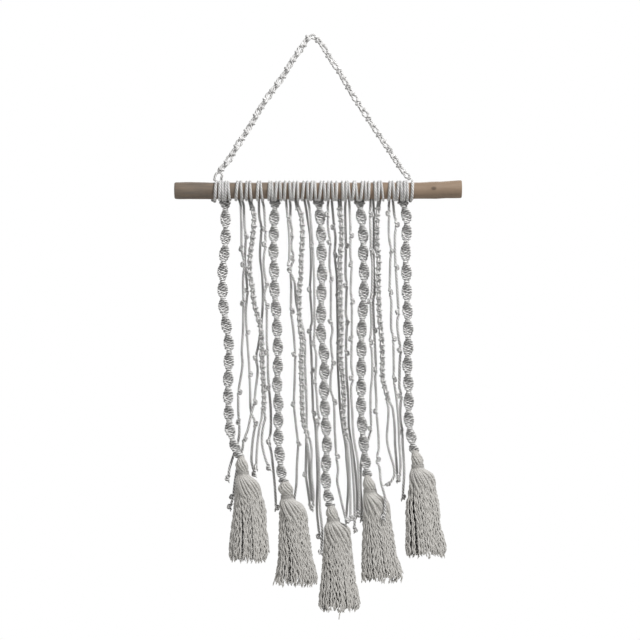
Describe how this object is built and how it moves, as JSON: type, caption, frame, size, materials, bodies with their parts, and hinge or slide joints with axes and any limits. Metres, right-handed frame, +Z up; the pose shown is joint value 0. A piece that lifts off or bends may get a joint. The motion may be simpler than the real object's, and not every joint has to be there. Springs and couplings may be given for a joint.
{
  "type": "macrame wall hanging on a wooden rod",
  "caption": "Macrame wall hanging: a peeled wooden stick on a knotted cotton hanger, with twisted half-knot sinnets that end in tassels and knotted cords hanging between them.",
  "frame": {"origin": "the point at the top of the hanger's triangle where its cord rests on a hook", "axes": "+X to the viewer's right along the stick, +Y towards the wall, +Z up; metres"},
  "size_m": [0.4388, 0.0394, 0.8834],
  "materials": {
    "cotton_cord": "matt undyed cotton cord, three plies laid together",
    "cotton_yarn": "matt undyed cotton yarn, unplied ends with a slight crimp",
    "peeled_wood": "peeled and unvarnished stick, sawn ends"
  },
  "bodies": {
    "root": {"binding_1": "cotton_yarn", "binding_2": "cotton_yarn", "binding_3": "cotton_yarn", "binding_4": "cotton_yarn", "binding_5": "cotton_yarn", "chain_b1": "cotton_cord", "chain_b2": "cotton_cord", "chain_b3": "cotton_cord", "chain_b4": "cotton_cord", "chain_tail_b1": "cotton_cord", "chain_tail_b2": "cotton_cord", "chain_tail_b3": "cotton_cord", "chain_tail_b4": "cotton_cord", "cord_a1_left": "cotton_cord", "cord_a1_right": "cotton_cord", "cord_a2_left": "cotton_cord", "cord_a2_right": "cotton_cord", "cord_a3_left": "cotton_cord", "cord_a3_right": "cotton_cord", "cord_a4_left": "cotton_cord", "cord_a4_right": "cotton_cord", "cord_c1_left": "cotton_cord", "cord_c1_right": "cotton_cord", "cord_c2_left": "cotton_cord", "cord_c2_right": "cotton_cord", "cord_c3_left": "cotton_cord", "cord_c3_right": "cotton_cord", "cord_c4_left": "cotton_cord", "cord_c4_right": "cotton_cord", "hanger": "cotton_cord", "hanger_tie_left": "cotton_cord", "hanger_tie_right": "cotton_cord", "heading_a1": "cotton_cord", "heading_a2": "cotton_cord", "heading_a3": "cotton_cord", "heading_a4": "cotton_cord", "heading_b1": "cotton_cord", "heading_b2": "cotton_cord", "heading_b3": "cotton_cord", "heading_b4": "cotton_cord", "heading_c1": "cotton_cord", "heading_c2": "cotton_cord", "heading_c3": "cotton_cord", "heading_c4": "cotton_cord", "heading_spiral_1": "cotton_cord", "heading_spiral_2": "cotton_cord", "heading_spiral_3": "cotton_cord", "heading_spiral_4": "cotton_cord", "heading_spiral_5": "cotton_cord", "rod": "peeled_wood", "spiral_1": "cotton_cord", "spiral_2": "cotton_cord", "spiral_3": "cotton_cord", "spiral_4": "cotton_cord", "spiral_5": "cotton_cord", "tassel_1": "cotton_yarn", "tassel_2": "cotton_yarn", "tassel_3": "cotton_yarn", "tassel_4": "cotton_yarn", "tassel_5": "cotton_yarn"}
  },
  "joints": []
}
